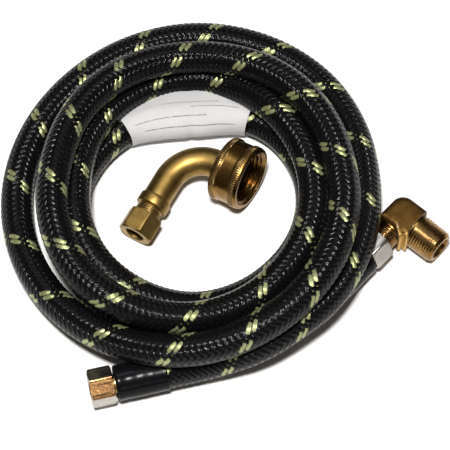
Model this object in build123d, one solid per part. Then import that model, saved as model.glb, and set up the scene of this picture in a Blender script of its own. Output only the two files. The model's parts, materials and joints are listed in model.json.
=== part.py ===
from build123d import *
import math
import os

os.makedirs("parts", exist_ok=True)

# Appliance supply hose kit, lying on a surface at z = 0. Millimetres, +Z up.
# The origin is on that surface, under the middle of the whole kit.

# Driving dimensions: the hose
HOSE_R = 7.75
TUBE_BORE_R = 4.3
TUBE_R = 6.95

# Driving dimensions: the coil, measured from its own middle
COIL_MIDDLE = Vector(-15.2, 6.83, 0)
RING_OUTER = (93.5, 100.0)
RING_INNER = (49.0, 54.0)
RING_INNER_SHIFT = -2.0
RING_TOP = 44.0
RING_SADDLE_R = 374.0
RING_EDGE = 4.0
INNER_TURN_ENDS = (49.0, 20.0)
INNER_TURN_BACK = 41.0
INNER_TURN_Z = 8.3

# Driving dimensions: the label, a paper band round the inner turn
LABEL_THICKNESS = 0.3
LABEL_HALF_ANGLE = 27.0
LABEL_TURN = 3.5
LABEL_ROOM = 0.25

# Driving dimensions: a hose end, measured along its axis from the sleeve's rear mouth
SLEEVE_R = 8.6
SLEEVE_BORE_R = 7.8
SLEEVE_LENGTH = 24.0
HOSE_ENTRY = 2.0
FERRULE_R = 7.75
FERRULE_BORE_R = 7.0
FERRULE_END = 23.0
FERRULE_LIP = 1.0
STEM_BORE_R = 2.6
STEM_NECK_R = 4.6
STEM_FLANGE_R = 6.3
STEM_FLANGE = (26.5, 28.3)
BARB_PITCH = 5.5
BARB_DEPTH = 0.25
NUT_START = 24.6
NUT_LENGTH = 11.5
NUT_FLATS = 15.88
NUT_WALL = 1.6
NUT_THREAD_START = 31.4
NUT_RELIEF_R = 6.9
SEAL_LENGTH = 2.9
SEAL_TIP_R = 4.4
RUNNING_GAP = 0.1

# Driving dimensions: 3/8 in compression thread, 9/16-24
COMP_MINOR_R = 6.6
COMP_TUBE_R = 4.85
COMP_PITCH = 1.058

# Driving dimensions: where the two hose ends lie, from the coil's middle
END_A_MOUTH = Vector(-12.3, -97.5, 10.1)
END_A_HEADING = 193.5
END_B_MOUTH = Vector(65.1, -55.4, 8.75)
END_B_HEADING = 48.0
TAIL_STRAIGHT = 13.0
TAIL_A = [Vector(15.2, -91.8, 13.2), Vector(30.4, -88.6, 18.8), Vector(44.6, -80.8, 22.6)]
TAIL_B = [Vector(44.8, -73.2, 8.3), Vector(32.4, -78.0, 7.9)]

# Driving dimensions: outlet elbow, measured from where its two bores cross
OUTLET_ALONG = 52.4
OUTLET_NOSE = 20.9
OUTLET_BODY_X = (-7.4, 8.6)
OUTLET_BODY_Y = (-9.0, 8.5)
OUTLET_BODY_HALF_HEIGHT = 8.6
OUTLET_CORNER_R = 6.0
OUTLET_EDGE_R = 3.0
OUTLET_BORE_R = 3.6
OUTLET_PIPE_R = 8.4
OUTLET_PIPE_BORE_R = 5.5
OUTLET_PIPE_END = 24.3
OUTLET_RIB = (2.2, 2.5, 13.0)

# Driving dimensions: inlet elbow, measured from where its two legs' axes cross
INLET_CORNER = Vector(-4.0, 19.2, 13.45)
INLET_SWIVEL_DIR = (-30.8, 6.8)
INLET_COMP_DIR = (-119.2, -5.6)
INLET_TUBE_R = 7.05
INLET_BORE_R = 4.6
INLET_TUBE_POCKET_R = 5.1
INLET_BEND_R = 17.5
INLET_COLLAR = (29.4, 34.9)
INLET_COLLAR_R = 8.0
INLET_THREAD_END = 44.9
INLET_NUT_START = 39.3
INLET_NUT_LENGTH = 11.5
INLET_NUT_FLATS = 15.88
INLET_NUT_WALL = 2.4
INLET_NUT_TWIST = 7.0
INLET_SLEEVE_R = 6.0

# Driving dimensions: 3/4 in garden hose nut, from its rear face
GARDEN_NUT_AT = 21.7
GARDEN_NUT_LENGTH = 15.5
GARDEN_NUT_RIM_R = 16.1
GARDEN_NUT_WAIST_R = 15.4
GARDEN_NUT_WALL = 2.4
GARDEN_NUT_MINOR_R = 12.4
GARDEN_NUT_RELIEF_R = 12.65
GARDEN_NUT_THREAD_START = 7.7
GARDEN_FLANGE_R = 11.6
GARDEN_FLANGE = (2.7, 4.5)
GARDEN_WASHER = (4.6, 7.6)
GARDEN_WASHER_BORE_R = 8.0


def direction(azimuth, elevation=0.0):
    """Unit vector at an azimuth from +X and an elevation, in degrees."""
    a, e = math.radians(azimuth), math.radians(elevation)
    return Vector(math.cos(a) * math.cos(e), math.sin(a) * math.cos(e), math.sin(e))


def frame_along(origin, along):
    """Plane whose Z runs along a leg and whose Y points up."""
    sideways = Vector(0, 0, 1).cross(along).normalized()
    return Plane(origin=origin, x_dir=sideways, z_dir=along)


def turned(*profile):
    """Solid turned about Z from (radius, height) points."""
    outline = Polyline(*[(r, 0, z) for r, z in profile], close=True)
    return revolve(make_face(outline), Axis.Z)


def ring(outer, inner, start, end):
    """Plain tube along Z."""
    return turned((inner, start), (outer, start), (outer, end), (inner, end))


def rod(radius, start, end):
    """Plain cylinder along Z."""
    return turned((0, start), (radius, start), (radius, end), (0, end))


def hexagon_bar(flats, start, end, twist=0.0):
    """Hexagon prism along Z with its corners chamfered at both ends."""
    corner = flats / 2 / math.cos(math.radians(30))
    drop = (corner - flats / 2) * math.tan(math.radians(30))
    section = RegularPolygon(flats / 2, 6, major_radius=False, rotation=twist)
    prism = extrude(Plane.XY.offset(start) * section, end - start)
    trim = turned(
        (0, start),
        (flats / 2, start),
        (corner, start + drop),
        (corner, end - drop),
        (flats / 2, end),
        (0, end),
    )
    return prism & trim


def tube_along(points, radius, name):
    """Round bar along straight runs joined by tangent arcs as large as the runs allow."""
    runs = [(b - a).length for a, b in zip(points, points[1:])]
    radii = []
    for i in range(1, len(points) - 1):
        turn = (points[i] - points[i - 1]).get_angle(points[i + 1] - points[i])
        radii.append(0.45 * min(runs[i - 1], runs[i]) / math.tan(math.radians(turn / 2)))
    path = FilletPolyline(*points, radius=radii)
    start = Plane(origin=path @ 0, z_dir=path % 0)
    bar = sweep(start * Circle(radius), path=path)
    share = bar.volume / (math.pi * radius**2 * path.length)
    print(name, "length", round(path.length, 1), "radii", [round(r) for r in radii],
          "volume over section times length", round(share, 4))
    return bar


def sleeve():
    """Shrink sleeve over the ferrule and the hose's last stretch."""
    return ring(SLEEVE_R, SLEEVE_BORE_R, 0, SLEEVE_LENGTH)


def ferrule():
    """Crimp ferrule with a lip that closes on the stem's neck."""
    neck = STEM_NECK_R + RUNNING_GAP / 2
    lip = FERRULE_END - FERRULE_LIP
    return turned(
        (FERRULE_BORE_R, HOSE_ENTRY),
        (FERRULE_R, HOSE_ENTRY),
        (FERRULE_R, FERRULE_END),
        (neck, FERRULE_END),
        (neck, lip),
        (FERRULE_BORE_R, lip),
    )


def inner_tube():
    """Rubber lining of the hose, from the end of the braid to the stem's shoulder."""
    return ring(TUBE_R, TUBE_BORE_R, HOSE_ENTRY, FERRULE_END - FERRULE_LIP - 0.5)


def stem():
    """Hose insert: barbs inside the lining, a neck for the nut, and a flange."""
    shoulder = FERRULE_END - FERRULE_LIP
    root = TUBE_BORE_R - BARB_DEPTH
    profile = [(STEM_BORE_R, HOSE_ENTRY)]
    for i in range(3):
        start = HOSE_ENTRY + i * BARB_PITCH
        profile += [(root, start), (TUBE_BORE_R, start + BARB_PITCH)]
    profile += [(root, HOSE_ENTRY + 3 * BARB_PITCH), (root, shoulder), (STEM_NECK_R, shoulder)]
    profile += [(STEM_NECK_R, STEM_FLANGE[0]), (STEM_FLANGE_R, STEM_FLANGE[0])]
    profile += [(STEM_FLANGE_R, STEM_FLANGE[1]), (STEM_BORE_R, STEM_FLANGE[1])]
    return turned(*profile)


def swivel_nut(twist):
    """Captive hexagon nut, female 3/8 in compression."""
    end = NUT_START + NUT_LENGTH
    wall = NUT_START + NUT_WALL
    body = hexagon_bar(NUT_FLATS, NUT_START, end, twist)
    body -= rod(STEM_NECK_R + RUNNING_GAP, NUT_START - 1, wall + 1)
    body -= rod(NUT_RELIEF_R, wall, NUT_THREAD_START)
    body -= rod(COMP_MINOR_R, wall, end + 1)
    return body


def cone_seal():
    """Rubber cone washer seated on the stem's flange."""
    base = STEM_FLANGE[1]
    return turned(
        (STEM_BORE_R, base),
        (STEM_FLANGE_R - RUNNING_GAP, base),
        (STEM_FLANGE_R - RUNNING_GAP, base + 1),
        (SEAL_TIP_R, base + SEAL_LENGTH),
        (STEM_BORE_R, base + SEAL_LENGTH),
    )


def outlet_elbow():
    """Forged elbow: X is the 3/8 in pipe leg, -Y the compression leg, Z is up."""
    width = OUTLET_BODY_X[1] - OUTLET_BODY_X[0]
    depth = OUTLET_BODY_Y[1] - OUTLET_BODY_Y[0]
    middle = Pos(sum(OUTLET_BODY_X) / 2, sum(OUTLET_BODY_Y) / 2)
    body = extrude(middle * Rectangle(width, depth), OUTLET_BODY_HALF_HEIGHT, both=True)
    outer_corner = body.edges().filter_by(Axis.Z).sort_by(lambda e: e.center().X - e.center().Y)[0]
    body = fillet(outer_corner, OUTLET_CORNER_R)
    face = OUTLET_BODY_X[1]
    rims = [e for e in body.faces().filter_by(Axis.Z).edges() if e.center().X < face - 0.1]
    body = fillet(rims, OUTLET_EDGE_R)
    rib_width, rib_reach, rib_height = OUTLET_RIB
    rib = Box(rib_width, 2 * rib_reach, rib_height)
    body += Pos(face - rib_width / 2, OUTLET_BODY_Y[0], 0) * rib
    pipe_leg = Plane(origin=(0, 0, 0), z_dir=(1, 0, 0))
    comp_leg = Plane(origin=(0, 0, 0), z_dir=(0, -1, 0))
    body += pipe_leg * rod(OUTLET_PIPE_R, face / 2, OUTLET_PIPE_END)
    body += comp_leg * rod(COMP_MINOR_R - RUNNING_GAP, 0, OUTLET_NOSE)
    body -= pipe_leg * rod(OUTLET_PIPE_BORE_R, -1, OUTLET_PIPE_END + 1)
    body -= comp_leg * rod(OUTLET_BORE_R, -1, OUTLET_NOSE + 1)
    return body


def inlet_elbow():
    """Bent tube elbow in the kit's frame, with a flange inside the garden hose nut."""
    swivel = direction(*INLET_SWIVEL_DIR)
    comp = direction(*INLET_COMP_DIR)
    flange_end = GARDEN_NUT_AT + GARDEN_FLANGE[1]
    path = FilletPolyline(
        INLET_CORNER + comp * INLET_COLLAR[0],
        INLET_CORNER,
        INLET_CORNER + swivel * flange_end,
        radius=INLET_BEND_R,
    )
    section = Plane(origin=path @ 0, z_dir=path % 0)
    body = sweep(section * Circle(INLET_TUBE_R), path=path)
    hollow = sweep(section * Circle(INLET_BORE_R), path=path)
    flange = rod(GARDEN_FLANGE_R, GARDEN_NUT_AT + GARDEN_FLANGE[0], flange_end)
    body += frame_along(INLET_CORNER, swivel) * flange
    leg = rod(INLET_COLLAR_R, *INLET_COLLAR)
    leg += rod(COMP_MINOR_R - RUNNING_GAP, INLET_COLLAR[0], INLET_THREAD_END)
    seat = turned(
        (0, INLET_COLLAR[0] - 1),
        (INLET_TUBE_POCKET_R, INLET_COLLAR[0] - 1),
        (INLET_TUBE_POCKET_R, INLET_THREAD_END - 2.2),
        (INLET_SLEEVE_R + 0.2, INLET_THREAD_END),
        (INLET_SLEEVE_R + 0.2, INLET_THREAD_END + 1),
        (0, INLET_THREAD_END + 1),
    )
    leg_frame = frame_along(INLET_CORNER, comp)
    body += leg_frame * leg
    body -= hollow
    body -= leg_frame * seat
    return body


def inlet_nut():
    """Compression nut, measured from the inlet elbow's corner."""
    end = INLET_NUT_START + INLET_NUT_LENGTH
    wall = end - INLET_NUT_WALL
    body = hexagon_bar(INLET_NUT_FLATS, INLET_NUT_START, end, INLET_NUT_TWIST)
    body -= rod(COMP_MINOR_R, INLET_NUT_START - 1, wall)
    body -= rod(COMP_TUBE_R, wall - 1, end + 1)
    return body


def inlet_sleeve():
    """Brass compression sleeve between the elbow's seat and the nut's wall."""
    back = INLET_THREAD_END - 1.0
    front = INLET_NUT_START + INLET_NUT_LENGTH - INLET_NUT_WALL - 0.15
    return turned(
        (COMP_TUBE_R, back),
        (INLET_SLEEVE_R - 0.6, back),
        (INLET_SLEEVE_R, INLET_THREAD_END + 0.6),
        (INLET_SLEEVE_R, front - 1.0),
        (INLET_SLEEVE_R - 0.5, front),
        (COMP_TUBE_R, front),
    )


def garden_nut():
    """Garden hose nut with two proud rims and a waist, from its rear face."""
    length, rim, waist = GARDEN_NUT_LENGTH, GARDEN_NUT_RIM_R, GARDEN_NUT_WAIST_R
    body = turned(
        (0, 0),
        (rim - 0.8, 0),
        (rim, 0.8),
        (rim, 3.2),
        (waist, 4.6),
        (waist, length - 5.2),
        (rim, length - 4.0),
        (rim, length - 0.6),
        (rim - 0.6, length),
        (0, length),
    )
    body -= rod(INLET_TUBE_R + RUNNING_GAP, -1, GARDEN_NUT_WALL + 1)
    body -= rod(GARDEN_NUT_RELIEF_R, GARDEN_NUT_WALL, GARDEN_NUT_THREAD_START)
    body -= rod(GARDEN_NUT_MINOR_R, GARDEN_NUT_WALL, length + 1)
    return body


def garden_washer():
    """Flat rubber hose washer, from the nut's rear face."""
    return ring(GARDEN_NUT_MINOR_R - 0.1, GARDEN_WASHER_BORE_R, *GARDEN_WASHER)


def inner_turn_arc():
    """Centre, radius of the inner turn's arc across the back of the coil."""
    half, rise = INNER_TURN_ENDS[0], INNER_TURN_BACK - INNER_TURN_ENDS[1]
    radius = (half**2 + rise**2) / (2 * rise)
    return Vector(0, INNER_TURN_BACK - radius, INNER_TURN_Z), radius


def arc_band(outer, inner, half_angle, turn=0.0):
    """Part of a round tube bent along the inner turn's arc, turned about the arc's centre."""
    centre, radius = inner_turn_arc()
    section = Plane.XZ * (Pos(radius, 0) * Circle(outer))
    if inner:
        section -= Plane.XZ * (Pos(radius, 0) * Circle(inner))
    band = revolve(section, Axis.Z, revolution_arc=2 * half_angle)
    return Pos(centre) * Rot(0, 0, 90 + turn - half_angle) * band


def label_wrap():
    """Paper band round the inner turn."""
    inner = HOSE_R + RUNNING_GAP / 2
    return arc_band(inner + LABEL_THICKNESS, inner, LABEL_HALF_ANGLE, LABEL_TURN)


def coil(cutters):
    """Outer shape of the coiled turns: an oval ring and the turn that crosses its hole."""
    outline = Ellipse(*RING_OUTER) - Pos(0, RING_INNER_SHIFT) * Ellipse(*RING_INNER)
    body = extrude(outline, RING_TOP + RING_EDGE)
    body = chamfer(body.faces().sort_by(Axis.Z)[0].edges(), RING_EDGE)
    barrel = Plane.YZ * Pos(0, RING_TOP - RING_SADDLE_R) * Circle(RING_SADDLE_R)
    body &= extrude(barrel, 2 * RING_OUTER[0], both=True)
    body = chamfer(body.faces().sort_by(Axis.Z)[-1].edges(), RING_EDGE)
    clear = LABEL_THICKNESS + LABEL_ROOM
    body -= arc_band(HOSE_R + clear, 0, LABEL_HALF_ANGLE + 1, LABEL_TURN)
    half_angle = math.degrees(math.asin(INNER_TURN_ENDS[0] / inner_turn_arc()[1]))
    body += arc_band(HOSE_R, 0, half_angle)
    for cutter in cutters:
        body -= cutter
    return body


def main():
    swivel = direction(*INLET_SWIVEL_DIR)
    end_a = frame_along(END_A_MOUTH, direction(END_A_HEADING))
    end_b = frame_along(END_B_MOUTH, direction(END_B_HEADING))
    inlet_comp = frame_along(INLET_CORNER, direction(*INLET_COMP_DIR))
    inlet_swivel = frame_along(INLET_CORNER + swivel * GARDEN_NUT_AT, swivel)
    outlet = Plane(
        origin=END_B_MOUTH + direction(END_B_HEADING) * OUTLET_ALONG,
        x_dir=direction(END_B_HEADING - 90),
        z_dir=(0, 0, 1),
    )

    nodes = {}
    clearances = []
    tails = {"a": TAIL_A, "b": TAIL_B}
    for side, frame, twist in (("a", end_a, 30), ("b", end_b, 0)):
        nodes["shrink_sleeve_" + side] = frame * sleeve()
        nodes["crimp_ferrule_" + side] = frame * ferrule()
        nodes["inner_tube_" + side] = frame * inner_tube()
        nodes["hose_stem_" + side] = frame * stem()
        nodes["cone_seal_" + side] = frame * cone_seal()
        nodes["swivel_nut_" + side] = frame * swivel_nut(twist)
        entry = [frame.origin + frame.z_dir * HOSE_ENTRY, frame.origin - frame.z_dir * TAIL_STRAIGHT]
        name = "hose_tail_" + side
        nodes[name] = tube_along(entry + tails[side], HOSE_R, name)
        clearances.append(nodes[name])
        clearances.append(frame * rod(SLEEVE_R + 0.3, -0.3, NUT_START))
        clearances.append(frame * rod(NUT_FLATS / 2 / math.cos(math.radians(30)) + 0.4,
                                      NUT_START - 0.6, NUT_START + NUT_LENGTH + 0.6))
    nodes["outlet_elbow"] = outlet.location * outlet_elbow()
    clearances.append(outlet.location * Pos(3, 0, 0) * Box(25, 33, 60))
    nodes["inlet_elbow"] = inlet_elbow()
    nodes["inlet_comp_nut"] = inlet_comp * inlet_nut()
    nodes["inlet_comp_sleeve"] = inlet_comp * inlet_sleeve()
    nodes["garden_hose_nut"] = inlet_swivel * garden_nut()
    nodes["hose_washer"] = inlet_swivel * garden_washer()
    nodes["label_wrap"] = label_wrap()
    nodes["hose_coil"] = coil(clearances)

    corners = []
    for name, shape in nodes.items():
        placed = Pos(COIL_MIDDLE) * shape
        solids = placed.solids()
        placed = solids[0] if len(solids) == 1 else Compound(children=solids)
        export_step(placed, "parts/" + name + ".step")
        box = placed.bounding_box()
        corners.append((box.min, box.max))
        print(name, len(solids), "solid", round(placed.volume / 1000, 3), "cm3")
    low = [min(getattr(c[0], k) for c in corners) for k in "XYZ"]
    high = [max(getattr(c[1], k) for c in corners) for k in "XYZ"]
    print("box", [round(v, 2) for v in low], [round(v, 2) for v in high])


main()
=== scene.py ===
import json
import math

import bmesh
import bpy
import numpy as np
from mathutils import Matrix, Vector


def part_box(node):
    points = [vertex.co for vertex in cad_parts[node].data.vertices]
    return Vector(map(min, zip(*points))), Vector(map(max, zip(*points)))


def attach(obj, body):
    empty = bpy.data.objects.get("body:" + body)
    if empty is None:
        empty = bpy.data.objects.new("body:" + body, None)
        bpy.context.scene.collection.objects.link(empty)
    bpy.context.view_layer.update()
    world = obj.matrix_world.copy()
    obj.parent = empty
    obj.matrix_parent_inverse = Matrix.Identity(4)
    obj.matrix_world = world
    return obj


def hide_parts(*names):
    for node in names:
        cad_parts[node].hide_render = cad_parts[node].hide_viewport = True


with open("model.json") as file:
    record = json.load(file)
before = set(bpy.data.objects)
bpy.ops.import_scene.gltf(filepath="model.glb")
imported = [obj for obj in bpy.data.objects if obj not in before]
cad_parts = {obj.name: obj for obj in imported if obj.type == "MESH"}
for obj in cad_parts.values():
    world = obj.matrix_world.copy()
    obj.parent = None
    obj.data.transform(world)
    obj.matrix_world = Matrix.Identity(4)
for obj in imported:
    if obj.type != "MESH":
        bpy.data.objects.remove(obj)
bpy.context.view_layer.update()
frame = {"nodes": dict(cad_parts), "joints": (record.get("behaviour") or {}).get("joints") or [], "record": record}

JOINTS = {joint["name"]: joint for joint in frame["joints"]}
MOUNTS = {mount["name"]: mount for mount in frame["record"]["mounts"]}
MM = 0.001
TURN = 2 * math.pi

# Sizes are in millimetres until a piece is made; objects are in metres.
HOSE_D = 15.5
COIL_MIDDLE = Vector((-15.2, 6.83, 0.0))

# The coil: how far each turn reaches from the middle, and how high it lies, every 45 degrees
# counterclockwise from the front.
TURNS = (
    ((94, 90, 82, 88, 89, 85, 86, 90), (9, 23.5, 14, 8, 8, 8, 8, 13)),
    ((94.5, 84, 69, 65, 64, 62.0, 64.3, 77.5), (28, 38, 35, 33, 28, 34, 36.5, 33)),
    ((77, 66, 57, 53.5, 61, 57.5, 56.2, 64.5), (24, 24, 24, 23.5, 13, 20, 23, 20)),
    ((64, 60, 57, 51, 42, 48, 58, 72), (8, 8, 8, 8.5, 8.5, 8.5, 8, 8)),
)
COIL_EXIT = (80.0, 78.0)
POINTS_PER_TURN = 16
SKIPPED_POINTS = 2
CORNER_CUT = 1.0195

# The runs between the coil and the two hose ends, from the coil's middle.
TAIL_A = ((15.2, -91.8, 13.2), (30.4, -88.6, 18.8), (44.6, -80.8, 22.6))
TAIL_B = ((44.8, -73.2, 8.3), (32.4, -78.0, 7.9))
HOSE_ENTRY = 2.0
TAIL_STRAIGHT = 13.0

# The braid: carriers each way, the pitch of one float along the hose, its relief, the pale
# yarns, and the threads in a yarn; then the mesh that carries it.
CARRIERS = 12
FLOAT_PITCH = 2.95
BRAID_ROOT_R = 7.28
BRAID_ROUND = 0.42
BRAID_LIFT = 0.18
TRACERS = 2
THREADS_PER_YARN = 5
COLUMNS = 48
RINGS_PER_FLOAT = 3
OFF_THE_SEAM = 0.01
FRAME_SMOOTHING = 7
SPLINE_RESOLUTION = 24


# ---------------------------------------------------------------- frames and meshes

def frame_at(origin, along):
    """Matrix whose Z runs along a leg and whose Y points up, in metres."""
    z = Vector(along).normalized()
    x = Vector((0, 0, 1)).cross(z).normalized()
    y = z.cross(x)
    turned_axes = Matrix((x, y, z)).transposed().to_4x4()
    return Matrix.Translation(origin) @ turned_axes


def joint_frame(name, distance, sign=1):
    """Frame on a joint's axis, whose zero is that many millimetres behind the joint's point."""
    along = Vector(JOINTS[name]["axis"]) * sign
    return frame_at(Vector(JOINTS[name]["pos_m"]) - along * distance * MM, along)


def add_object(name, data):
    """Puts a new object in the scene."""
    made = bpy.data.objects.new(name, data)
    bpy.context.scene.collection.objects.link(made)
    return made


def finish_mesh(name, mesh, place, sharp=35):
    """Makes an object of a mesh in metres, smooth but for its sharp edges."""
    mesh.validate()
    mesh.shade_smooth()
    mesh.set_sharp_from_angle(angle=math.radians(sharp))
    made = add_object(name, mesh)
    made.matrix_world = place
    return made


def radius_at(station, angle):
    """A station's radius is a number or a function of the angle."""
    return station(angle) if callable(station) else station


def bridge(bm, low, high):
    """Joins two rings of vertices with faces."""
    count = len(low)
    for i in range(count):
        j = (i + 1) % count
        bm.faces.new((low[i], low[j], high[j], high[i]))


def add_turned(bm, stations, angles, lift=None):
    """Adds a closed surface of revolution about Z through (distance, radius) stations."""
    lift = lift or Matrix.Identity(4)
    rings = []
    for s, r in stations:
        ring = []
        for a in angles:
            reach = radius_at(r, a)
            point = Vector((math.cos(a) * reach, math.sin(a) * reach, s)) * MM
            ring.append(bm.verts.new(lift @ point))
        rings.append(ring)
    pairs = list(zip(rings, rings[1:]))
    if radius_at(stations[0][1], 0.0) > 0:
        pairs.append((rings[-1], rings[0]))
    for low, high in pairs:
        bridge(bm, low, high)


def cleaned_mesh(name, bm):
    """Closes poles, makes every face point outwards, and turns the bmesh into a mesh."""
    bmesh.ops.remove_doubles(bm, verts=bm.verts, dist=1e-6)
    bmesh.ops.dissolve_degenerate(bm, edges=bm.edges, dist=1e-7)
    bmesh.ops.recalc_face_normals(bm, faces=bm.faces)
    mesh = bpy.data.meshes.new(name)
    bm.to_mesh(mesh)
    bm.free()
    return mesh


def laid_mesh(name, verts, faces, lay):
    """Mesh of points in metres, with a UV map that says how the cloth or paper lies."""
    mesh = bpy.data.meshes.new(name)
    mesh.from_pydata(verts, [], faces)
    mesh.uv_layers.new(name="lay").data.foreach_set("uv", lay)
    return mesh


def even_angles(count):
    """Angles all round, evenly spaced."""
    return [TURN * i / count for i in range(count)]


def turned(name, stations, place, angles=None, sharp=35):
    """One piece turned about its own Z axis."""
    bm = bmesh.new()
    add_turned(bm, stations, angles or even_angles(96))
    return finish_mesh(name, cleaned_mesh(name, bm), place, sharp)


# Across one pitch of a thread: how steep its flanks are, and how high its crest would reach if
# it weren't cut flat at 1.
FLANK_SLOPE = 3.4
CREST_HEIGHT = 1.35

# A hexagon: its corners' blunting, and the cone that cuts its ends back.
CORNER_BLUNT = 0.12
CONE_INSIDE = 0.05
CONE_TILT = math.radians(30)


def thread(start, end, root, crest, pitch, fade=0.6, taper=0.0, steps=8):
    """Stations of a helical thread; the ridge dies away over the first and last part of a turn."""
    count = max(2, round((end - start) / pitch * steps))
    made = []
    for i in range(count + 1):
        s = start + (end - start) * i / count
        share = min(1.0, (s - start) / (fade * pitch), (end - s) / (fade * pitch))
        narrow = taper * (s - start)

        def reach(angle, s=s, share=share, narrow=narrow):
            phase = (s / pitch - angle / TURN) % 1.0
            ridge = min(1.0, max(0.0, CREST_HEIGHT - abs(phase - 0.5) * FLANK_SLOPE))
            return root + (crest - root) * ridge * share - narrow

        made.append((s, reach))
    return made


def hexagon(flats, start, end, twist):
    """Stations of a hexagon nut's outside, its ends cut back by a cone."""
    inner = flats / 2 - CONE_INSIDE
    corner = flats / 2 / math.cos(math.radians(30)) - CORNER_BLUNT
    depth = (corner - inner) * math.tan(CONE_TILT)
    shares = (0.0, 0.25, 0.5, 0.75, 1.0)
    levels = [(start + depth * f, inner + (corner - inner) * f) for f in shares]
    levels += [(end - depth * f, inner + (corner - inner) * f) for f in shares[::-1]]
    made = []
    for s, limit in levels:
        def reach(angle, limit=limit):
            off = (angle - math.radians(twist)) % math.radians(60) - math.radians(30)
            return min(flats / 2 / math.cos(off), limit)

        made.append((s, reach))
    return made


def hexagon_angles(twist):
    """Angles that are closer together beside the corners of a hexagon."""
    offsets = (-30, -28.6, -27, -24, -18, -9, 0, 9, 18, 24, 27, 28.6)
    return [math.radians(twist + 30 + 60 * side + offset) for side in range(6) for offset in offsets]


# ---------------------------------------------------------------- material nodes

class Shader:
    """Short names for building one material's nodes."""

    def __init__(self, name):
        self.material = bpy.data.materials.new(name)
        self.material.use_nodes = True
        self.tree = self.material.node_tree
        self.surface = self.tree.nodes["Principled BSDF"]

    def node(self, kind, values=None, **settings):
        made = self.tree.nodes.new("ShaderNode" + kind)
        for key, value in settings.items():
            setattr(made, key, value)
        for key, value in (values or {}).items():
            self.put(made.inputs[key], value)
        return made

    def put(self, socket, value):
        """Links a socket, or sets a constant on it."""
        if isinstance(value, bpy.types.NodeSocket):
            self.tree.links.new(value, socket)
        else:
            socket.default_value = value

    def set(self, **values):
        """Sets the shader's own sockets; an underscore stands for a space."""
        for key, value in values.items():
            self.put(self.surface.inputs[key.replace("_", " ")], value)

    def math(self, operation, *values):
        """Output of a Math node."""
        made = self.node("Math", operation=operation)
        for socket, value in zip(made.inputs, values):
            self.put(socket, value)
        return made.outputs[0]

    def where(self):
        """Object coordinates."""
        return self.node("TexCoord").outputs["Object"]

    def stretched(self, scale):
        """Object coordinates, scaled by three numbers."""
        made = self.node("Mapping", {"Vector": self.where()})
        made.inputs["Scale"].default_value = scale
        return made.outputs[0]

    def noise(self, scale, detail=3.0, roughness=0.55, vector=None):
        """Noise from 0 to 1; its scale is in cycles per metre."""
        values = {"Scale": scale, "Detail": detail, "Roughness": roughness}
        values["Vector"] = vector or self.where()
        return self.node("TexNoise", values).outputs["Fac"]

    def band(self, value, low, high, new_low=0.0, new_high=1.0):
        """Smooth step from new_low to new_high as the value goes from low to high."""
        values = {"Value": value, "From Min": low, "From Max": high, "To Min": new_low, "To Max": new_high}
        made = self.node("MapRange", values, interpolation_type="SMOOTHSTEP")
        return made.outputs["Result"]

    def mix(self, share, first, second):
        """Colour between two colours."""
        made = self.node("Mix", data_type="RGBA")
        self.put(made.inputs["Factor"], share)
        for key, value in (("A", first), ("B", second)):
            socket = next(i for i in made.inputs if i.name == key and i.type == "RGBA")
            self.put(socket, value if isinstance(value, bpy.types.NodeSocket) else (*value, 1.0))
        return next(o for o in made.outputs if o.type == "RGBA")

    def bump(self, height, distance, strength=1.0, under=None):
        """Bump of a height from 0 to 1, its depth in millimetres."""
        made = self.node("Bump", {"Height": height, "Distance": distance * MM, "Strength": strength})
        if under is not None:
            self.put(made.inputs["Normal"], under)
        return made.outputs[0]

    def along(self, direction):
        """How far a point lies along a direction, in metres."""
        values = {0: self.where(), 1: direction}
        return self.node("VectorMath", values, operation="DOT_PRODUCT").outputs["Value"]

    def all_metal(self):
        """Makes the whole surface metal."""
        self.surface.inputs["Metallic"].default_value = 1.0

    def specular(self, level):
        """Sets how strongly the surface reflects when seen square on."""
        self.surface.inputs["Specular IOR Level"].default_value = level

    def edges(self, radius, low=0.004, high=0.06):
        """1 beside an edge and 0 on a face."""
        rounded = self.node("Bevel", {"Radius": radius * MM}, samples=4)
        flat = self.node("NewGeometry")
        dot = self.node("VectorMath", operation="DOT_PRODUCT")
        self.put(dot.inputs[0], rounded.outputs[0])
        self.put(dot.inputs[1], flat.outputs["Normal"])
        bent = self.math("SUBTRACT", 1.0, dot.outputs["Value"])
        return self.band(bent, low, high)


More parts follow.
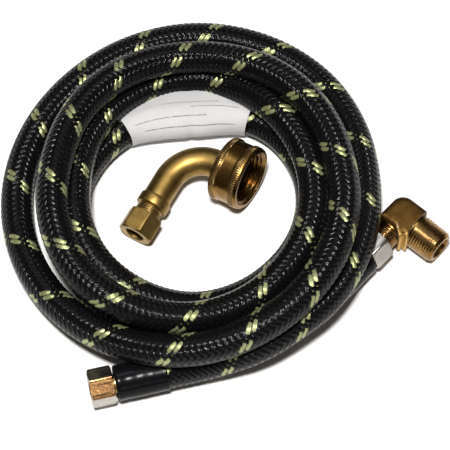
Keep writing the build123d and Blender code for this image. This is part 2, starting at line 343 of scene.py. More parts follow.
def braid_material():
    """Two-over-two-under braid of black yarn, with two pale green yarns side by side; painted shade darkens its
    hollows and the grooves between its threads.
    """
    sh = Shader("braided_nylon")
    uv = sh.node("UVMap", uv_map="lay")
    split = sh.node("SeparateXYZ", {"Vector": uv.outputs[0]})
    round_it, along = split.outputs[0], split.outputs[1]
    a = sh.math("ADD", round_it, along)
    b = sh.math("SUBTRACT", round_it, along)
    heights = []
    for own, other, centre in ((a, b, 1.0), (b, a, 3.0)):
        index = sh.math("FLOOR", own)
        phase = sh.math("SUBTRACT", sh.math("ADD", other, index), centre)
        rise = sh.math("COSINE", sh.math("MULTIPLY", phase, math.pi / 2))
        across = sh.math("MULTIPLY_ADD", sh.math("FRACT", own), 2.0, -1.0)
        crown = sh.math("SUBTRACT", 1.0, sh.math("MULTIPLY", across, across))
        heights.append(sh.math("MULTIPLY_ADD", rise, BRAID_LIFT / BRAID_ROUND, crown))
    tracer_over = sh.math("GREATER_THAN", heights[0], heights[1])
    top = sh.math("MAXIMUM", *heights)
    own = sh.math("ADD", sh.math("MULTIPLY", tracer_over, sh.math("SUBTRACT", a, b)), b)
    yarns = sh.math("SINE", sh.math("MULTIPLY", own, TURN * THREADS_PER_YARN))
    index = sh.math("FLOORED_MODULO", sh.math("FLOOR", a), float(CARRIERS))
    tracer = sh.math("MULTIPLY", sh.math("LESS_THAN", index, TRACERS - 0.5), tracer_over)
    tone = sh.noise(260.0, 2.0)
    fibres = sh.noise(1500.0, 2.0)
    black = sh.mix(tone, (0.0018, 0.0018, 0.0022), (0.0050, 0.0048, 0.0055))
    lime = sh.mix(tone, (0.23, 0.265, 0.10), (0.62, 0.65, 0.36))
    # Painted shade: the lime is darkened towards dark olive in the grooves between its threads.
    lime = sh.mix(sh.band(yarns, -1.0, 0.2, 0.55, 0.0), lime, (0.07, 0.09, 0.02))
    cloth = sh.mix(tracer, black, lime)
    # Painted shade: the cloth is darkened towards black in the hollows where the floats dip under each other.
    painted_shade = sh.band(top, 0.15, 0.95, 0.80, 0.0)
    cloth = sh.mix(painted_shade, cloth, (0.0012, 0.0012, 0.0016))
    relief = sh.math("MULTIPLY_ADD", yarns, 0.10, top)
    relief = sh.math("MULTIPLY_ADD", fibres, 0.16, relief)
    gloss = sh.math("MULTIPLY_ADD", fibres, 0.12, 0.11)
    gloss = sh.math("MULTIPLY_ADD", tracer, 0.16, gloss)
    shine = sh.math("MULTIPLY", tracer, 0.65)
    sh.set(Base_Color=cloth, Metallic=shine, Roughness=gloss, Normal=sh.bump(relief, 0.30, 1.0))
    sh.specular(0.17)
    return sh.material


def sleeve_material():
    """Glossy black shrink tube, faintly rippled, with a little dust."""
    sh = Shader("shrink_tube")
    ripple = sh.noise(150.0, 2.0, vector=sh.stretched((1.0, 1.0, 0.6)))
    grain = sh.noise(1700.0, 3.0)
    dust = sh.band(sh.noise(620.0, 4.0, 0.7), 0.66, 0.74, 0.0, 0.35)
    colour = sh.mix(grain, (0.002, 0.002, 0.0028), (0.006, 0.006, 0.0075))
    sh.set(
        Base_Color=sh.mix(dust, colour, (0.09, 0.09, 0.09)),
        Roughness=sh.band(ripple, 0.3, 0.7, 0.15, 0.24),
        Normal=sh.bump(grain, 0.02, 0.6, sh.bump(ripple, 0.25, 0.5)),
    )
    sh.specular(0.09)
    return sh.material


# The flat of the plated nut that carries a painted reflection of a brown surface in amber: which way it faces, and
# its distances.
REFLECTING_FLAT = (0.5, 0.866, 0.0)
REFLECTING_FROM = 7.60
REFLECTING_TO = 7.75

# The forged elbow's inner corner, with a painted highlight that makes it brighter.
HIGHLIT_CORNER = (0.7071, -0.7071, 0.0)
HIGHLIGHT_BLEND = 0.4


def plated_material(name, amber=0.0):
    """Nickel plate over brass: drawn lines, bare specks, and one flat painted amber as a reflection of a brown
    surface.
    """
    sh = Shader(name)
    drawn = sh.noise(900.0, 3.0, vector=sh.stretched((1.0, 1.0, 0.06)))
    cloud = sh.noise(170.0, 4.0, 0.6)
    speck = sh.noise(1300.0, 3.0, 0.6)
    pits = sh.band(speck, 0.60, 0.72)
    edge = sh.edges(0.35)
    plate = sh.mix(cloud, (0.30, 0.28, 0.255), (0.52, 0.50, 0.47))
    plate = sh.mix(sh.math("MULTIPLY", pits, 0.5), plate, (0.26, 0.16, 0.08))
    plate = sh.mix(sh.math("MULTIPLY", edge, 0.30), plate, (0.80, 0.76, 0.68))
    # Painted reflection: one flat is painted amber-brown, standing in for a brown surface reflected in it.
    flat = sh.band(sh.along(REFLECTING_FLAT), REFLECTING_FROM * MM, REFLECTING_TO * MM, 0.0, amber)
    reflected_brown = sh.mix(sh.band(speck, 0.35, 0.68), (0.21, 0.085, 0.020), (0.62, 0.33, 0.11))
    sh.set(
        Base_Color=sh.mix(flat, plate, reflected_brown),
        Roughness=sh.band(drawn, 0.25, 0.75, 0.20, 0.42),
        Normal=sh.bump(pits, 0.04, 0.6, sh.bump(drawn, 0.02, 0.6)),
    )
    sh.all_metal()
    return sh.material


def brass_material(name, finish):
    """Brass of one finish: grain size and depth, roughness range, lathe marks and a painted highlight on a corner.
    """
    dark, light, rough = finish["dark"], finish["light"], finish["rough"]
    sh = Shader(name)
    grain = sh.noise(1.0 / (finish["grain_mm"] * MM), 4.0, 0.62)
    cloud = sh.noise(120.0, 4.0, 0.6)
    edge = sh.edges(0.4)
    colour = sh.mix(sh.band(cloud, 0.32, 0.7), dark, light)
    colour = sh.mix(sh.band(grain, 0.28, 0.5, finish["soot"], 0.0), colour, tuple(c * 0.35 for c in dark))
    normal = sh.bump(grain, finish["grain_depth"], 0.8)
    if "marks" in finish:
        marks = sh.noise(4200.0, 2.0, vector=sh.stretched((0.02, 0.02, 1.0)))
        normal = sh.bump(marks, finish["marks"], 0.6, normal)
    # Painted highlight: beyond a plane the colour is pushed towards bright brass, standing in for light on the
    # inner corner's ribs.
    if "highlight_beyond" in finish:
        start = finish["highlight_beyond"] * MM
        corner_highlight = sh.band(sh.along(HIGHLIT_CORNER), start, start + HIGHLIGHT_BLEND * MM, 0.0, 0.85)
        colour = sh.mix(corner_highlight, colour, (0.62, 0.40, 0.13))
    sh.set(
        Base_Color=sh.mix(sh.math("MULTIPLY", edge, finish["edge"]), colour, (1.0, 0.80, 0.44)),
        Roughness=sh.band(grain, 0.3, 0.7, rough[0], rough[1]),
        Normal=normal,
    )
    sh.all_metal()
    return sh.material


def rubber_material(name, tone):
    """Moulded rubber with a fine matt grain."""
    sh = Shader(name)
    grain = sh.noise(1400.0, 4.0, 0.6)
    cloud = sh.noise(200.0, 3.0)
    sh.set(
        Base_Color=sh.mix(cloud, (tone, tone, tone), (tone * 1.8, tone * 1.75, tone * 1.7)),
        Roughness=sh.band(grain, 0.3, 0.7, 0.5, 0.75),
        Normal=sh.bump(grain, 0.04, 0.7),
    )
    return sh.material


def steel_material():
    """Pressed steel of the crimp ferrules."""
    sh = Shader("pressed_steel")
    drawn = sh.noise(1200.0, 3.0, vector=sh.stretched((1.0, 1.0, 0.1)))
    cloud = sh.noise(220.0, 3.0)
    sh.set(
        Base_Color=sh.mix(cloud, (0.36, 0.36, 0.37), (0.60, 0.60, 0.61)),
        Roughness=sh.band(drawn, 0.3, 0.7, 0.25, 0.45),
        Normal=sh.bump(drawn, 0.02, 0.6),
    )
    sh.all_metal()
    return sh.material


# The label's plain rules: how far round the paper each lies, and where it starts and ends.
RULES = ((3.0, 16.0, 44.0), (6.0, 6.0, 30.0), (10.0, 22.0, 60.0), (13.7, 6.0, 56.0))
RULE_HALF_WIDTH = 0.22


def paper_material():
    """White paper with plain grey rules, faintly soiled."""
    sh = Shader("label_paper")
    uv = sh.node("UVMap", uv_map="lay")
    split = sh.node("SeparateXYZ", {"Vector": uv.outputs[0]})
    along, across = split.outputs[0], split.outputs[1]
    fibre = sh.noise(900.0, 5.0, 0.65)
    cloud = sh.noise(70.0, 3.0)
    paper = sh.mix(cloud, (0.448, 0.448, 0.461), (0.55, 0.55, 0.557))
    ruled = None
    for level, start, end in RULES:
        line = sh.math("COMPARE", across, level, RULE_HALF_WIDTH)
        after, before = sh.math("GREATER_THAN", along, start), sh.math("LESS_THAN", along, end)
        line = sh.math("MULTIPLY", line, sh.math("MULTIPLY", after, before))
        ruled = line if ruled is None else sh.math("MAXIMUM", ruled, line)
    ink = sh.math("MULTIPLY", ruled, sh.band(fibre, 0.3, 0.55, 0.35, 0.8))
    sh.set(
        Base_Color=sh.mix(ink, paper, (0.12, 0.12, 0.13)),
        Roughness=sh.band(fibre, 0.3, 0.7, 0.55, 0.8),
        Normal=sh.bump(fibre, 0.03, 0.7, sh.bump(cloud, 0.5, 0.4)),
    )
    return sh.material


def floor_material():
    """Pale matt studio floor."""
    sh = Shader("studio_floor")
    grain = sh.noise(40.0, 3.0)
    sh.set(
        Base_Color=sh.mix(grain, (0.86, 0.86, 0.86), (0.89, 0.89, 0.89)),
        Roughness=sh.band(grain, 0.3, 0.7, 0.6, 0.75),
    )
    sh.specular(0.2)
    return sh.material


MATERIALS = {
    "braid": braid_material(),
    "shrink_sleeve": sleeve_material(),
    "ferrule_steel": steel_material(),
    "lining_rubber": rubber_material("lining_rubber", 0.012),
    "stem_brass": brass_material("stem_brass", {
        "dark": (0.36, 0.23, 0.075), "light": (0.56, 0.38, 0.15), "rough": (0.2, 0.36),
        "grain_mm": 0.5, "grain_depth": 0.01, "soot": 0.3, "edge": 0.7, "marks": 0.02}),
    "seal_rubber": rubber_material("seal_rubber", 0.008),
    "nut_plated": plated_material("nickel_plate"),
    # The same plate with one flat painted amber as a reflection of a brown surface.
    "nut_painted_reflection": plated_material("nickel_plate_painted_reflection", 0.9),
    "brass_forged": brass_material("forged_brass", {
        "dark": (0.080, 0.040, 0.011), "light": (0.165, 0.092, 0.025), "rough": (0.42, 0.60),
        # The inner corner has a painted highlight beyond 11.6 mm.
        "grain_mm": 0.55, "grain_depth": 0.13, "soot": 0.42, "edge": 0.4, "highlight_beyond": 11.6}),
    "brass_cut": brass_material("cut_brass", {
        "dark": (0.16, 0.078, 0.019), "light": (0.34, 0.19, 0.052), "rough": (0.22, 0.28),
        "grain_mm": 0.9, "grain_depth": 0.003, "soot": 0.12, "edge": 0.3}),
    "brass_satin": brass_material("satin_brass", {
        "dark": (0.23, 0.145, 0.040), "light": (0.37, 0.245, 0.075), "rough": (0.33, 0.48),
        "grain_mm": 0.42, "grain_depth": 0.08, "soot": 0.40, "edge": 0.35}),
    "brass_turned": brass_material("turned_brass", {
        "dark": (0.16, 0.085, 0.023), "light": (0.30, 0.17, 0.048), "rough": (0.24, 0.31),
        "grain_mm": 0.9, "grain_depth": 0.004, "soot": 0.12, "edge": 0.22, "marks": 0.008}),
    "label_paper": paper_material(),
}


def dress(piece, material, body, replaced=()):
    """Gives a piece its material, its body and the CAD nodes that it stands for."""
    piece.data.materials.append(MATERIALS[material])
    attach(piece, body)
    if replaced:
        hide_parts(*replaced)


# ---------------------------------------------------------------- the hose

def eased(values, index, share):
    """Catmull-Rom value between two stations."""
    last = len(values) - 1
    before, here, after, beyond = (values[min(max(index + k, 0), last)] for k in (-1, 0, 1, 2))
    linear = after - before
    square = 2 * before - 5 * here + 4 * after - beyond
    cube = 3 * here - before - 3 * after + beyond
    return here + 0.5 * (linear * share + square * share**2 + cube * share**3)


def coil_points():
    """The coil's turns, counterclockwise from the front."""
    reaches = [reach for turn in TURNS for reach in turn[0]] + list(COIL_EXIT)
    heights = [height for turn in TURNS for height in turn[1]] + [HOSE_D / 2] * len(COIL_EXIT)
    per_station = POINTS_PER_TURN // 8
    made = []
    for step in range(len(TURNS) * POINTS_PER_TURN + 1):
        index, part = divmod(step, per_station)
        angle = math.radians(-90 + 360 * step / POINTS_PER_TURN)
        reach = eased(reaches, index, part / per_station) * CORNER_CUT
        height = max(eased(heights, index, part / per_station), HOSE_D / 2)
        made.append(Vector((math.cos(angle) * reach, math.sin(angle) * reach, height)))
    return made[SKIPPED_POINTS:]


def end_points(place):
    """The first two points of a hose end: inside its sleeve's mouth, and straight out behind it."""
    return [place @ Vector((0, 0, HOSE_ENTRY * MM)), place @ Vector((0, 0, -TAIL_STRAIGHT * MM))]


def hose_route(end_a, end_b):
    """Control points of the whole hose in metres, from end A to end B."""
    loose_a = [(Vector(p) + COIL_MIDDLE) * MM for p in TAIL_A]
    loose_b = [(Vector(p) + COIL_MIDDLE) * MM for p in TAIL_B]
    turns = [(p + COIL_MIDDLE) * MM for p in coil_points()]
    return end_points(end_a) + loose_a + turns + (end_points(end_b) + loose_b)[::-1]


def spline_line(route, name):
    """Points along the NURBS spline that has the route as its control points."""
    curve = bpy.data.curves.new(name, "CURVE")
    curve.dimensions = "3D"
    spline = curve.splines.new("NURBS")
    spline.points.add(len(route) - 1)
    for point, place in zip(spline.points, route):
        point.co = (*place, 1.0)
    spline.order_u = 3
    spline.use_endpoint_u = True
    curve.resolution_u = SPLINE_RESOLUTION
    holder = bpy.data.objects.new(name, curve)
    mesh = bpy.data.meshes.new_from_object(holder)
    line = np.array([v.co[:] for v in mesh.vertices])
    bpy.data.objects.remove(holder)
    bpy.data.curves.remove(curve)
    bpy.data.meshes.remove(mesh)
    return line


def evenly(line, step):
    """The same line with points an even step apart, and its length."""
    reach = np.concatenate([[0.0], np.cumsum(np.linalg.norm(np.diff(line, axis=0), axis=1))])
    count = round(reach[-1] / step)
    places = np.linspace(0.0, reach[-1], count + 1)
    return np.stack([np.interp(places, reach, line[:, k]) for k in range(3)], axis=1), reach[-1]


def moving_frames(line):
    """Tangent and untwisted side direction at each point of a line."""
    tangents = np.gradient(line, axis=0)
    kernel = np.ones(FRAME_SMOOTHING) / FRAME_SMOOTHING
    margin = FRAME_SMOOTHING // 2
    padded = np.pad(tangents, ((margin, margin), (0, 0)), mode="edge")
    tangents = np.stack([np.convolve(padded[:, k], kernel, "valid") for k in range(3)], axis=1)
    tangents /= np.linalg.norm(tangents, axis=1)[:, None]
    sides = np.zeros_like(line)
    side = np.array([0.0, 0.0, 1.0])
    for i, tangent in enumerate(tangents):
        side = side - tangent * side.dot(tangent)
        side /= np.linalg.norm(side)
        sides[i] = side
    return tangents, sides


def braid_height(round_it, along):
    """Relief of the braid in millimetres; the higher of the two strands that cross."""
    a = round_it + along
    b = round_it - along
    heights = []
    for own, other, centre in ((a, b, 1.0), (b, a, 3.0)):
        index = np.floor(own)
        rise = BRAID_LIFT * np.cos(math.pi / 2 * (other + index - centre))
        crown = BRAID_ROUND * (1.0 - (2.0 * (own - index) - 1.0) ** 2)
        heights.append(rise + crown)
    return np.maximum(*heights)


def braided_hose(end_a, end_b):
    """The hose as one braided tube along its route."""
    route = hose_route(end_a, end_b)
    line = spline_line(route, "hose_route")
    line, length = evenly(line, FLOAT_PITCH / RINGS_PER_FLOAT * MM)
    tangents, sides = moving_frames(line)
    others = np.cross(tangents, sides)
    rings = len(line)
    along = np.arange(rings) / RINGS_PER_FLOAT
    round_it = np.arange(COLUMNS) * CARRIERS / COLUMNS
    angles = round_it / CARRIERS * TURN
    grid_round, grid_along = np.meshgrid(round_it + OFF_THE_SEAM, along + OFF_THE_SEAM)
    reach = (BRAID_ROOT_R + braid_height(grid_round, grid_along)) * MM
    out = sides[:, None] * np.cos(angles)[None, :, None] + others[:, None] * np.sin(angles)[None, :, None]
    verts = (line[:, None] + out * reach[..., None]).reshape(-1, 3)
    verts = np.concatenate([verts, line[:1], line[-1:]])
    first, last = len(verts) - 2, len(verts) - 1
    faces, lay = [], []
    per_column = CARRIERS / COLUMNS
    for i in range(rings - 1):
        for j in range(COLUMNS):
            k = (j + 1) % COLUMNS
            low, high = i * COLUMNS, (i + 1) * COLUMNS
            faces.append((low + j, low + k, high + k, high + j))
            u0, u1 = j * per_column, (j + 1) * per_column
            v0, v1 = along[i], along[i + 1]
            lay += [u0, v0, u1, v0, u1, v1, u0, v1]
    tail = (rings - 1) * COLUMNS
    for j in range(COLUMNS):
        k = (j + 1) % COLUMNS
        faces.append((first, k, j))
        faces.append((last, tail + j, tail + k))
        lay += [0.0] * 12
    mesh = laid_mesh("braided_hose", verts.tolist(), faces, lay)
    hose = finish_mesh("braided_hose", mesh, Matrix.Identity(4), 180)
    dress(hose, "braid", "root", replaced=("hose_coil", "hose_tail_a", "hose_tail_b"))
    return line


# ---------------------------------------------------------------- the label

# A paper band, in millimetres: its length along the hose, its radius round it, where its glued
# ends reach, how far it bellies out towards the middle of the coil, half its thickness, its gap
# from the hose and the step between its columns; then the angles it wraps through, and a place
# on it that has no rules.
LABEL_LENGTH = 64.0
LABEL_WRAP_R = 8.15
LABEL_TAIL = (10.0, 6.4)
LABEL_BELLY = 4.2
LABEL_HALF_PAPER = 0.12
LABEL_GAP = 0.10
LABEL_COLUMN = 1.15
LABEL_WRAP_ANGLES = range(64, 376, 8)
NO_RULES = -5.0

# The glued ends are folded in at both ends of the label: where they reach when fully folded, how
# steeply the fold grows towards the ends, and over how much of each half.
FOLDED_REACH = 7.515
FOLD = 0.75
FOLD_FIRST = 0.45
FOLD_LAST = 0.30

# Ripples of the paper: height, and phase for each point round it and each station along it.
LABEL_RIPPLES = ((0.10, 0.55, 0.11), (0.06, 1.3, -0.31))

# A crease across the label, in steps along the hose: place and width; then its two depths.
CREASE_BEFORE = 2
CREASE_WIDTH = 2.2
CREASE_IN = 0.5
CREASE_DENT = 0.18

# The part of the innermost turn that the label is on, in metres and degrees.
LABEL_TURN_REACH = 0.056
LABEL_TURN_TOP = 0.0095
LABEL_TURN_ANGLES = (40, 150)


def label_middle(line):
    """Index of the line's point under the middle of the label."""
    offset = line - np.array(COIL_MIDDLE * MM)
    angle = np.degrees(np.arctan2(offset[:, 1], offset[:, 0])) % 360
    reach = np.hypot(offset[:, 0], offset[:, 1])
    first, last = LABEL_TURN_ANGLES
    low_and_near = (reach < LABEL_TURN_REACH) & (line[:, 2] < LABEL_TURN_TOP)
    inner = np.flatnonzero(low_and_near & (angle > first) & (angle < last))
    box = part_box("label_wrap")
    centre_x = (box[0].x + box[1].x) / 2
    return inner[np.argmin(np.abs(line[inner, 0] - centre_x))]


def label_section(fold):
    """The paper's middle line round the hose, as (outward, up) points in millimetres."""
    tail, rise = LABEL_TAIL
    reach = tail * (1 - fold) + FOLDED_REACH * fold
    points = [(reach, rise), (reach * 0.86, rise + 0.5)]
    for degrees in LABEL_WRAP_ANGLES:
        a = math.radians(degrees)
        points.append((math.cos(a) * LABEL_WRAP_R, math.sin(a) * LABEL_WRAP_R))
    points.append((reach - 0.4, rise - 0.7))
    return points


def label_ring(n, share, dent):
    """Both faces of the paper at one station, as (outward, up) points in millimetres."""
    fold = FOLD * (max(0.0, FOLD_FIRST - 2 * share) + max(0.0, FOLD_LAST - 2 * (1 - share)))
    belly = LABEL_BELLY * 4 * share * (1 - share) - CREASE_IN * dent
    points = []
    for side in (1, -1):
        for k, (x, z) in enumerate(label_section(min(1.0, fold))):
            wave = sum(h * math.sin(k * around + n * ahead) for h, around, ahead in LABEL_RIPPLES)
            lift = side * LABEL_HALF_PAPER + max(0.0, wave) + LABEL_GAP - CREASE_DENT * dent
            grow = lift / math.hypot(x, z)
            inward = belly * max(0.0, -x / LABEL_WRAP_R) ** 2
            points.append((x * (1 + grow) - inward, z * (1 + grow)))
    return points


def label_faces(count, steps, step):
    """Faces of the paper and their place on it: its two sides and edges, then its two ends."""
    ring = 2 * count
    loop = list(range(count)) + list(range(ring - 1, count - 1, -1))
    faces, lay = [], []
    for n in range(steps):
        u0, u1 = n * step, (n + 1) * step
        for m in range(ring):
            p, q = loop[m], loop[(m + 1) % ring]
            faces.append((n * ring + p, n * ring + q, (n + 1) * ring + q, (n + 1) * ring + p))
            v0, v1 = (min(x, ring - x) * LABEL_COLUMN for x in (m, m + 1))
            lay += [u0, v0, u0, v1, u1, v1, u1, v0]
    for n, flip in ((0, 1), (steps, -1)):
        for m in range(n * ring, n * ring + count - 1):
            faces.append((m, m + 1, count + m + 1, count + m)[::flip])
            lay += [NO_RULES] * 8
    return faces, lay


def label(line):
    """Paper wrapped round the innermost turn, its glued ends standing out behind as a short flag."""
    here = label_middle(line)
    step = FLOAT_PITCH / RINGS_PER_FLOAT
    half = round(LABEL_LENGTH / 2 / step)
    tangents, _ = moving_frames(line)
    middle = np.array(COIL_MIDDLE * MM)
    up = np.array([0.0, 0.0, 1.0])
    rings = []
    for n, i in enumerate(range(here - half, here + half + 1)):
        outward = np.cross(tangents[i], up)
        outward /= np.linalg.norm(outward)
        if np.dot(outward[:2], (line[i] - middle)[:2]) < 0:
            outward = -outward
        dent = math.exp(-((i - here + CREASE_BEFORE) / CREASE_WIDTH) ** 2)
        points = label_ring(n, n / (2 * half), dent)
        rings.append([line[i] + outward * x * MM + up * z * MM for x, z in points])
    verts = np.concatenate(rings).tolist()
    faces, lay = label_faces(len(rings[0]) // 2, 2 * half, step)
    mesh = laid_mesh("paper_label", verts, faces, lay)
    bm = bmesh.new()
    bm.from_mesh(mesh)
    bmesh.ops.recalc_face_normals(bm, faces=bm.faces)
    bm.to_mesh(mesh)
    bm.free()
    piece = finish_mesh("paper_label", mesh, Matrix.Identity(4), 40)
    dress(piece, "label_paper", "root", replaced=("label_wrap",))


# ---------------------------------------------------------------- hose ends

# Profiles are (distance along the axis, radius) stations in millimetres. A hose end's distances
# are measured from its sleeve's rear mouth.
SLEEVE_LENGTH = 24.0
SLEEVE_R = 8.36
SLEEVE_BORE_R = 7.82
SLEEVE_FIRST = 1.3
SLEEVE_STEP = 0.45
SLEEVE_STEPS = 49

# The crimps that show through the sleeve, and the swell over the ferrule's front edge.
CRIMP_START, CRIMP_END = 6.0, 21.5
CRIMP_DEPTH = 0.035
CRIMP_HALF_PITCH = 2.6
SWELL_AT = 22.0
SWELL_WIDTH = 0.9
SWELL_RISE = 0.10

# How the sleeve is out of round: depth, lobes, and their phase for each millimetre along it.
SLEEVE_LOBES = ((0.05, 2, 0.22), (0.03, 3, -0.3))

# The plated nuts: hexagon across flats, where its cones start, its thread and its inside.
HEX_FLATS = 15.88
HEX_INSET = 0.02
NUT_START, NUT_END = 24.6, 36.1
NUT_THREAD_START = 31.4
NUT_NECK_R = 4.8
NUT_ROOM_R = 6.95
COMP_PITCH = 1.058


def shrink_sleeve(side, place):
    """Shrink tube drawn tight over the crimp ferrule, with the crimps showing through."""

    def outside(s):
        phase = (s - CRIMP_START) / CRIMP_HALF_PITCH * math.pi
        crimp = CRIMP_DEPTH * math.cos(phase) if CRIMP_START < s < CRIMP_END else 0.0
        swell = SWELL_RISE * math.exp(-((s - SWELL_AT) / SWELL_WIDTH) ** 2)

        def reach(angle):
            sag = sum(h * math.sin(lobes * angle + s * drift) for h, lobes, drift in SLEEVE_LOBES)
            return SLEEVE_R + crimp + swell + sag

        return reach

    length = SLEEVE_LENGTH
    stations = [(0.0, 7.95), (-0.12, 8.25), (0.1, 8.5), (0.7, 8.52)]
    distances = [SLEEVE_FIRST + i * SLEEVE_STEP for i in range(SLEEVE_STEPS)]
    stations += [(s, outside(s)) for s in distances]
    stations += [(length - 0.6, 8.3), (length - 0.2, 8.0), (length, 7.5), (length, 7.8)]
    stations += [(length - 0.9, SLEEVE_BORE_R), (1.0, SLEEVE_BORE_R)]
    piece = turned("shrink_tube_" + side, stations, place, sharp=50)
    dress(piece, "shrink_sleeve", "root", replaced=("shrink_sleeve_" + side,))


def swivel_nut(side, place, twist, material):
    """Plated hexagon nut with its thread cut inside."""
    stations = [(NUT_START, NUT_NECK_R), (NUT_START, 7.3)]
    stations += hexagon(HEX_FLATS, NUT_START + HEX_INSET, NUT_END - HEX_INSET, twist)
    stations += [(NUT_END, 7.6), (NUT_END, 7.3), (NUT_END - 0.6, 6.75)]
    stations += thread(NUT_THREAD_START, NUT_END - 0.7, 7.05, 6.62, COMP_PITCH)[::-1]
    stations += [(31.3, NUT_ROOM_R), (26.4, NUT_ROOM_R), (26.2, 6.7), (26.2, NUT_NECK_R)]
    piece = turned("plated_nut_" + side, stations, place, hexagon_angles(twist))
    node = "swivel_nut_" + side
    dress(piece, material, node, (node,))


# ---------------------------------------------------------------- outlet elbow

# The forged body, from the point where its two legs' axes cross, and the legs' bores.
BLOCK_X = (-7.4, 8.6)
BLOCK_Y = (-9.0, 8.5)
BLOCK_HALF_HEIGHT = 8.6
BLOCK_EDGE_R = 3.0
BLOCK_CORNER_R = 6.0
BLOCK_CENTRE = Vector((0.6, -0.2))
BLOCK_FACE = (7.5, -8.0)
ARC_STEPS = 8
EDGE_STEPS = 6
PIPE_BORE_R = 5.5
COMP_BORE_R = 3.6
PIPE_PITCH = 1.411
PIPE_TAPER = 0.022

# Two ribs at the inner corner, each a lobe of the outline, as points from that corner.
RIBS = (
    (-3.9, 0.0), (-3.4, -1.2), (-2.9, -1.2), (-2.5, -0.5), (-2.0, -2.2), (-1.5, -2.6), (-0.7, -2.6),
    (-0.3, -2.1), (-0.1, -0.4), (1.6, -0.6), (2.1, -0.2), (2.1, 0.5), (0.5, 1.3), (0.9, 2.3),
    (0.8, 3.0), (0.0, 3.6),
)


def block_outline():
    """Plan of the forged body: a round outer corner, and two ribs at the inner corner."""
    (x0, x1), (y0, y1) = BLOCK_X, BLOCK_Y
    r = BLOCK_CORNER_R
    outline = [(x1, y1)]
    for i in range(ARC_STEPS + 1):
        a = math.radians(90 + 90 * i / ARC_STEPS)
        outline.append((x0 + r + r * math.cos(a), y1 - r + r * math.sin(a)))
    return outline + [(x0, y0)] + [(x1 + dx, y0 + dy) for dx, dy in RIBS]


def rounded_block(bm):
    """Forged body whose edges are rounded off above and below, but not round its end face."""
    outline = block_outline()
    levels = []
    for i in range(EDGE_STEPS + 1):
        a = math.radians(90 * i / EDGE_STEPS)
        rise = BLOCK_EDGE_R * (1 - math.cos(a))
        levels.append((-BLOCK_HALF_HEIGHT + rise, BLOCK_EDGE_R * (1 - math.sin(a))))
    levels += [(-z, inset) for z, inset in reversed(levels)]
    rings = []
    for z, inset in levels:
        ring = []
        for x, y in outline:
            away = Vector((x, y)) - BLOCK_CENTRE
            on_face = x > BLOCK_FACE[0] and y > BLOCK_FACE[1]
            shrink_x = 0.0 if on_face else math.copysign(min(inset, abs(away.x)), away.x)
            shrink_y = math.copysign(min(inset, abs(away.y)), away.y)
            ring.append(bm.verts.new(Vector((x - shrink_x, y - shrink_y, z)) * MM))
        rings.append(ring)
    for low, high in zip(rings, rings[1:]):
        bridge(bm, low, high)
    bm.faces.new(rings[0][::-1])
    bm.faces.new(rings[-1])


def mesh_object(name, build):
    """Scratch object of a mesh made in metres."""
    bm = bmesh.new()
    build(bm)
    return add_object(name, cleaned_mesh(name, bm))


def cut(target, tools):
    """Cuts the tools out of the target and deletes them."""
    for tool in tools:
        modifier = target.modifiers.new("cut", "BOOLEAN")
        modifier.operation = "DIFFERENCE"
        modifier.solver = "EXACT"
        modifier.object = tool
    bpy.context.view_layer.update()
    evaluated = target.evaluated_get(bpy.context.evaluated_depsgraph_get())
    mesh = bpy.data.meshes.new_from_object(evaluated)
    for tool in tools:
        bpy.data.objects.remove(tool)
    bpy.data.objects.remove(target)
    return mesh


def rod(radius, start, end, lift):
    """Builder of a plain rod, for cutting a bore."""
    stations = [(start, 0.0), (start, radius), (end, radius), (end, 0.0)]
    return lambda bm: add_turned(bm, stations, even_angles(64), lift)


def outlet_elbow(place):
    """Forged elbow with a taper pipe thread and a compression thread."""
    pipe = Matrix.Rotation(math.radians(90), 4, "Y")
    comp = Matrix.Rotation(math.radians(90), 4, "X")
    block = mesh_object("outlet_block", rounded_block)
    tools = [
        mesh_object("pipe_bore", rod(PIPE_BORE_R, -5.2, 20.0, pipe)),
        mesh_object("comp_bore", rod(COMP_BORE_R, -2.0, 20.0, comp)),
    ]
    body = finish_mesh("outlet_body", cut(block, tools), place, 30)
    dress(body, "brass_forged", "outlet_elbow", replaced=("outlet_elbow",))
    stations = [(7.8, PIPE_BORE_R), (7.8, 7.9), (9.0, 7.9), (9.7, 7.95)]
    stations += thread(9.8, 23.0, 8.22, 8.64, PIPE_PITCH, taper=PIPE_TAPER, steps=10)
    stations += [(23.2, 7.7), (24.1, 7.2), (24.3, 7.0), (24.3, 5.75), (24.0, PIPE_BORE_R)]
    piece = turned("outlet_pipe_leg", stations, place @ pipe, even_angles(180), 60)
    dress(piece, "brass_cut", "outlet_elbow")
    stations = [(8.5, COMP_BORE_R), (8.5, 6.55), (9.6, 6.55), (10.0, 6.1)]
    stations += thread(10.1, 20.2, 6.0, 6.58, COMP_PITCH)
    stations += [(20.4, 5.9), (20.9, 5.4), (20.9, 4.9), (18.6, COMP_BORE_R)]
    piece = turned("outlet_compression_leg", stations, place @ comp, even_angles(144), 60)
    dress(piece, "brass_cut", "outlet_elbow")


# ---------------------------------------------------------------- inlet elbow

# The inlet elbow: its bend's radii and legs, its collar and nut along the compression axis, and
# the garden hose nut along the swivel axis.
BEND_R = 17.5
BEND_OUTER_R = 7.05
BEND_BORE_R = 4.6
BEND_LEGS = (29.6, 26.1)
BEND_STEPS = 40
BEND_SIDES = 48
COLLAR_BORE_R = 5.1
INLET_NUT_START, INLET_NUT_END = 39.3, 50.8
INLET_NUT_TWIST = 7
INLET_NUT_ROOM_R = 6.62
INLET_TUBE_R = 4.87
KNURL_TEETH = 84
GARDEN_PITCH = 2.209
GARDEN_NECK_R = 7.2
GARDEN_ROOM_R = 12.7


def swept(bm, line, radius):
    """Rings of vertices round a line of points in metres."""
    tangents, sides = moving_frames(line)
    others = np.cross(tangents, sides)
    rings = []
    for i, point in enumerate(line):
        ring = []
        for a in even_angles(BEND_SIDES):
            out = sides[i] * math.cos(a) + others[i] * math.sin(a)
            ring.append(bm.verts.new(point + out * radius * MM))
        rings.append(ring)
    return rings


